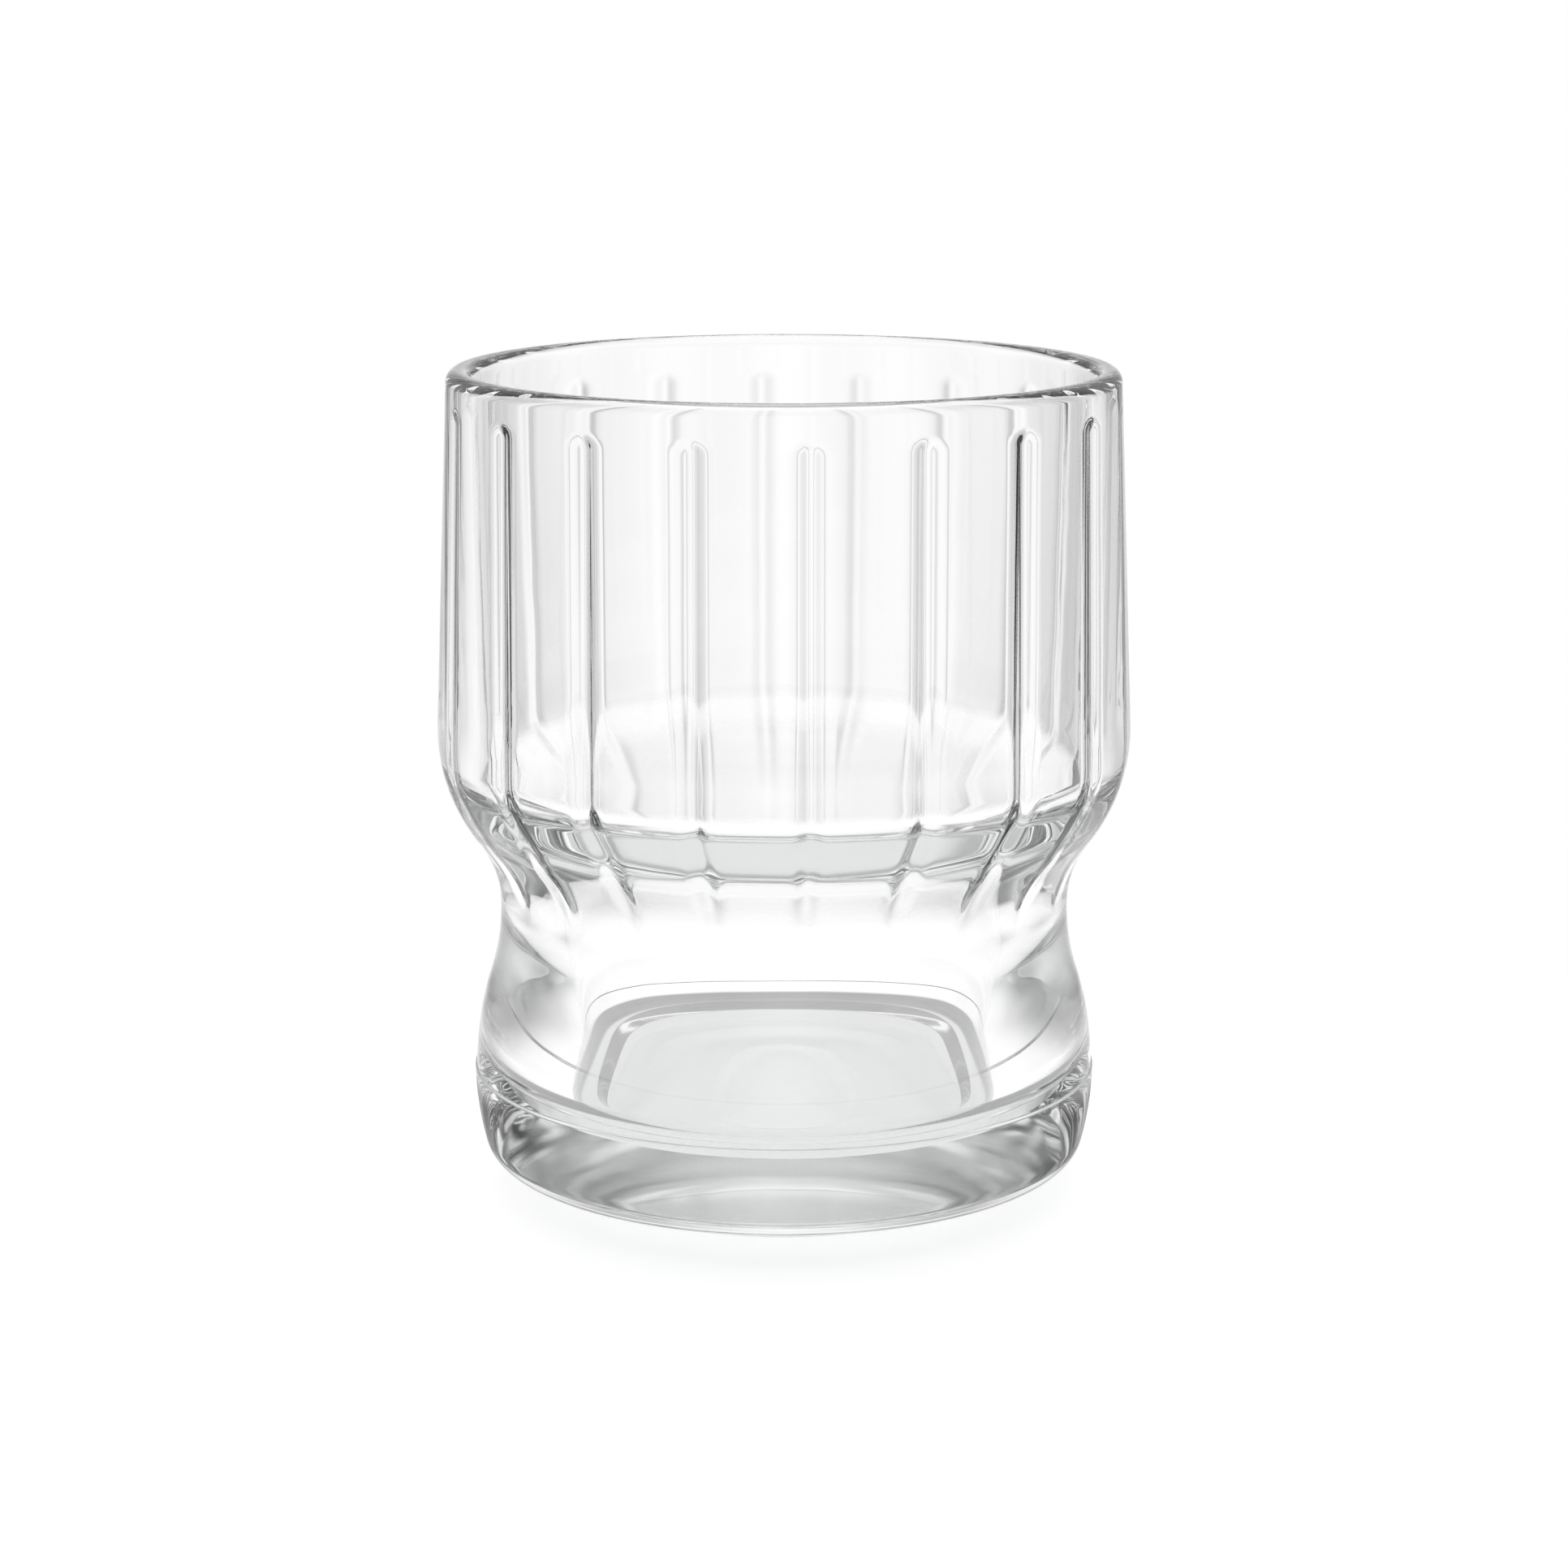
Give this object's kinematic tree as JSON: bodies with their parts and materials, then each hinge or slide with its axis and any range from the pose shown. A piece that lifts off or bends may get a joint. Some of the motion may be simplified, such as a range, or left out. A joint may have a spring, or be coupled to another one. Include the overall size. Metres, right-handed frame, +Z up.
{
  "type": "whisky tumbler",
  "caption": "Clear glass whisky tumbler with a waisted body, soft ribs inside the bowl, a rounded lip and a heavy bevelled foot, for short drinks.",
  "frame": {"origin": "centre of the plane that the glass stands on", "axes": "+Z up along the glass's axis, towards the mouth; -Y is the side that the picture shows"},
  "size_m": [0.0802, 0.0802, 0.096],
  "materials": {
    "clear_glass": "fire-polished gloss"
  },
  "bodies": {
    "root": {"foot": "clear_glass", "waist": "clear_glass", "bowl": "clear_glass", "rim": "clear_glass"}
  },
  "joints": []
}
